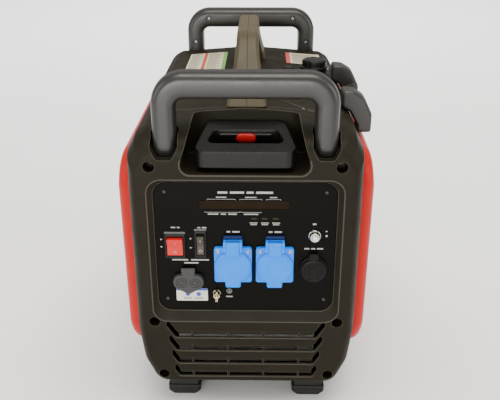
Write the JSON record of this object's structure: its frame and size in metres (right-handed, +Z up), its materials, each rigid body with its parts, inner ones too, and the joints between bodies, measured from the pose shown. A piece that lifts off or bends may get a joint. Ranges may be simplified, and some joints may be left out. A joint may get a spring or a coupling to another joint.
{
  "type": "inverter generator",
  "caption": "Suitcase-style portable inverter generator with loop handles, pull-out trolley grip, rear wheels, control panel and splash-lidded mains sockets.",
  "frame": {"origin": "on the floor, at the centre of the object's box seen from above", "axes": "+X to the right for someone reading the control panel, +Y from the control panel towards the rear wheels, +Z up"},
  "size_m": [0.3436, 0.5556, 0.5006],
  "materials": {
    "body_plastic": "fine leather grain, satin sheen on edges",
    "handle_plastic": "fine texture, satin sheen",
    "red_plastic": "satin moulded red",
    "gloss_plastic": "semi-gloss black",
    "panel_plastic": "fine satin black",
    "amber_window": "dark smoked amber",
    "blue_plastic": "satin moulded blue",
    "rubber": "matte",
    "tyre": "matte, treaded",
    "grey_rubber": "matte",
    "white_plastic": "glossy",
    "tube_chrome": "polished",
    "brass": "nickel-washed, slightly dull",
    "steel": "brushed",
    "aluminium": "as cast",
    "copper": "varnished windings",
    "cord": "braided",
    "tank_plastic": "blow moulded"
  },
  "bodies": {
    "root": {"front_housing": "body_plastic", "rear_housing": "body_plastic", "top_cover": "body_plastic", "bottom_tray": "body_plastic", "left_body_shell": "body_plastic", "right_body_shell": "body_plastic", "left_side_cover": "red_plastic", "right_side_cover": "red_plastic", "front_handle_outer": "handle_plastic", "front_handle_inner": "handle_plastic", "rear_handle_outer": "handle_plastic", "rear_handle_inner": "handle_plastic", "carry_handle_left": "body_plastic", "carry_handle_right": "body_plastic", "handle_guide_frame": "steel", "front_foot_left": "rubber", "front_foot_right": "rubber", "wheel_axle": "steel", "control_panel": "panel_plastic", "display_window": "amber_window", "run_switch_bezel": "gloss_plastic", "eco_switch_bezel": "gloss_plastic", "parallel_outlet": "gloss_plastic", "socket_left": "blue_plastic", "socket_right": "blue_plastic", "dc_outlet": "gloss_plastic", "dc_breaker_body": "tube_chrome", "ground_stud": "brass", "fuel_tank": "tank_plastic", "starter_guard_front": "handle_plastic", "starter_guard_rear": "handle_plastic", "starter_rope": "cord", "engine_block": "aluminium", "stator": "copper", "muffler": "steel", "air_filter_box": "body_plastic", "carburettor": "aluminium", "inverter_module": "aluminium"},
    "grip_frame": {"telescopic_grip": "gloss_plastic", "inner_tube_left": "tube_chrome", "inner_tube_right": "tube_chrome"},
    "release_button": {"release_button": "red_plastic"},
    "run_rocker": {"run_switch_rocker": "red_plastic"},
    "eco_rocker": {"eco_switch_rocker": "gloss_plastic"},
    "parallel_cover": {"parallel_outlet_cover": "grey_rubber"},
    "socket_lid_left": {"socket_left_lid": "blue_plastic"},
    "socket_lid_right": {"socket_right_lid": "blue_plastic"},
    "dc_cap": {"dc_outlet_cap": "gloss_plastic"},
    "breaker_button": {"dc_breaker_button": "white_plastic"},
    "wing_nut": {"ground_wing_nut": "brass"},
    "cap_insert": {"fuel_cap_insert": "rubber"},
    "cap_shell": {"fuel_cap": "gloss_plastic"},
    "vent_knob": {"fuel_vent_knob": "rubber"},
    "starter_grip": {"recoil_grip": "rubber"},
    "starter_pulley": {"recoil_pulley": "handle_plastic"},
    "rotor": {"crankshaft_rotor": "steel"},
    "wheel_left": {"wheel_left_tyre": "tyre", "wheel_left_hub": "handle_plastic"},
    "wheel_right": {"wheel_right_tyre": "tyre", "wheel_right_hub": "handle_plastic"}
  },
  "joints": [
    {"name": "telescopic_handle", "type": "slide", "parent": "root", "child": "grip_frame", "axis": [0, -1, 0], "range_m": [0, 0.3]},
    {"name": "release_button_press", "type": "slide", "parent": "grip_frame", "child": "release_button", "axis": [0, 1, 0], "range_m": [0, 0.003], "stiffness_N_per_m": 400},
    {"name": "run_switch_rock", "type": "hinge", "parent": "root", "child": "run_rocker", "pos_m": [-0.0918, -0.2588, 0.257], "axis": [1, 0, 0], "range_deg": [-16, 0]},
    {"name": "eco_switch_rock", "type": "hinge", "parent": "root", "child": "eco_rocker", "pos_m": [-0.0585, -0.2588, 0.2595], "axis": [1, 0, 0], "range_deg": [-16, 0]},
    {"name": "parallel_cover_flip", "type": "hinge", "parent": "root", "child": "parallel_cover", "pos_m": [-0.0755, -0.2675, 0.2235], "axis": [-1, 0, 0], "range_deg": [0, 110]},
    {"name": "socket_left_lid_flip", "type": "hinge", "parent": "root", "child": "socket_lid_left", "pos_m": [-0.0162, -0.2735, 0.2645], "axis": [-1, 0, 0], "range_deg": [0, 100], "stiffness_Nm_per_rad": 0.02},
    {"name": "socket_right_lid_flip", "type": "hinge", "parent": "root", "child": "socket_lid_right", "pos_m": [0.0383, -0.2735, 0.2645], "axis": [-1, 0, 0], "range_deg": [0, 100], "stiffness_Nm_per_rad": 0.02},
    {"name": "dc_cap_flip", "type": "hinge", "parent": "root", "child": "dc_cap", "pos_m": [0.089, -0.27, 0.2468], "axis": [-1, 0, 0], "range_deg": [0, 110]},
    {"name": "breaker_trip", "type": "slide", "parent": "root", "child": "breaker_button", "axis": [0, -1, 0], "range_m": [0, 0.003]},
    {"name": "ground_nut_turn", "type": "hinge", "parent": "root", "child": "wing_nut", "pos_m": [-0.0384, -0.2628, 0.187], "axis": [0, 1, 0], "continuous": true},
    {"name": "fuel_cap_lift", "type": "slide", "parent": "root", "child": "cap_insert", "axis": [0, 0, 1], "range_m": [0, 0.06]},
    {"name": "fuel_cap_turn", "type": "hinge", "parent": "cap_insert", "child": "cap_shell", "pos_m": [0.104, 0.04, 0.4165], "axis": [0, 0, 1], "continuous": true},
    {"name": "fuel_vent_turn", "type": "hinge", "parent": "root", "child": "vent_knob", "pos_m": [0.062, 0.03, 0.4165], "axis": [0, 0, 1], "range_deg": [0, 90]},
    {"name": "starter_pull", "type": "slide", "parent": "root", "child": "starter_grip", "axis": [0.8751, 0, 0.484], "range_m": [0, 0.45], "deforming": ["starter_rope"]},
    {"name": "starter_pulley_turn", "type": "hinge", "parent": "root", "child": "starter_pulley", "pos_m": [0.089, -0.0125, 0.17], "axis": [1, 0, 0], "range_deg": [-580, 0]},
    {"name": "rotor_spin", "type": "hinge", "parent": "root", "child": "rotor", "pos_m": [0, -0.0125, 0.17], "axis": [1, 0, 0], "continuous": true},
    {"name": "wheel_left_spin", "type": "hinge", "parent": "root", "child": "wheel_left", "pos_m": [-0.139, 0.2, 0.055], "axis": [1, 0, 0], "continuous": true},
    {"name": "wheel_right_spin", "type": "hinge", "parent": "root", "child": "wheel_right", "pos_m": [0.139, 0.2, 0.055], "axis": [1, 0, 0], "continuous": true}
  ],
  "couplings": [
    {"joint": "starter_pulley_turn", "follows": "starter_pull", "rad_per_m": -22.222}
  ]
}
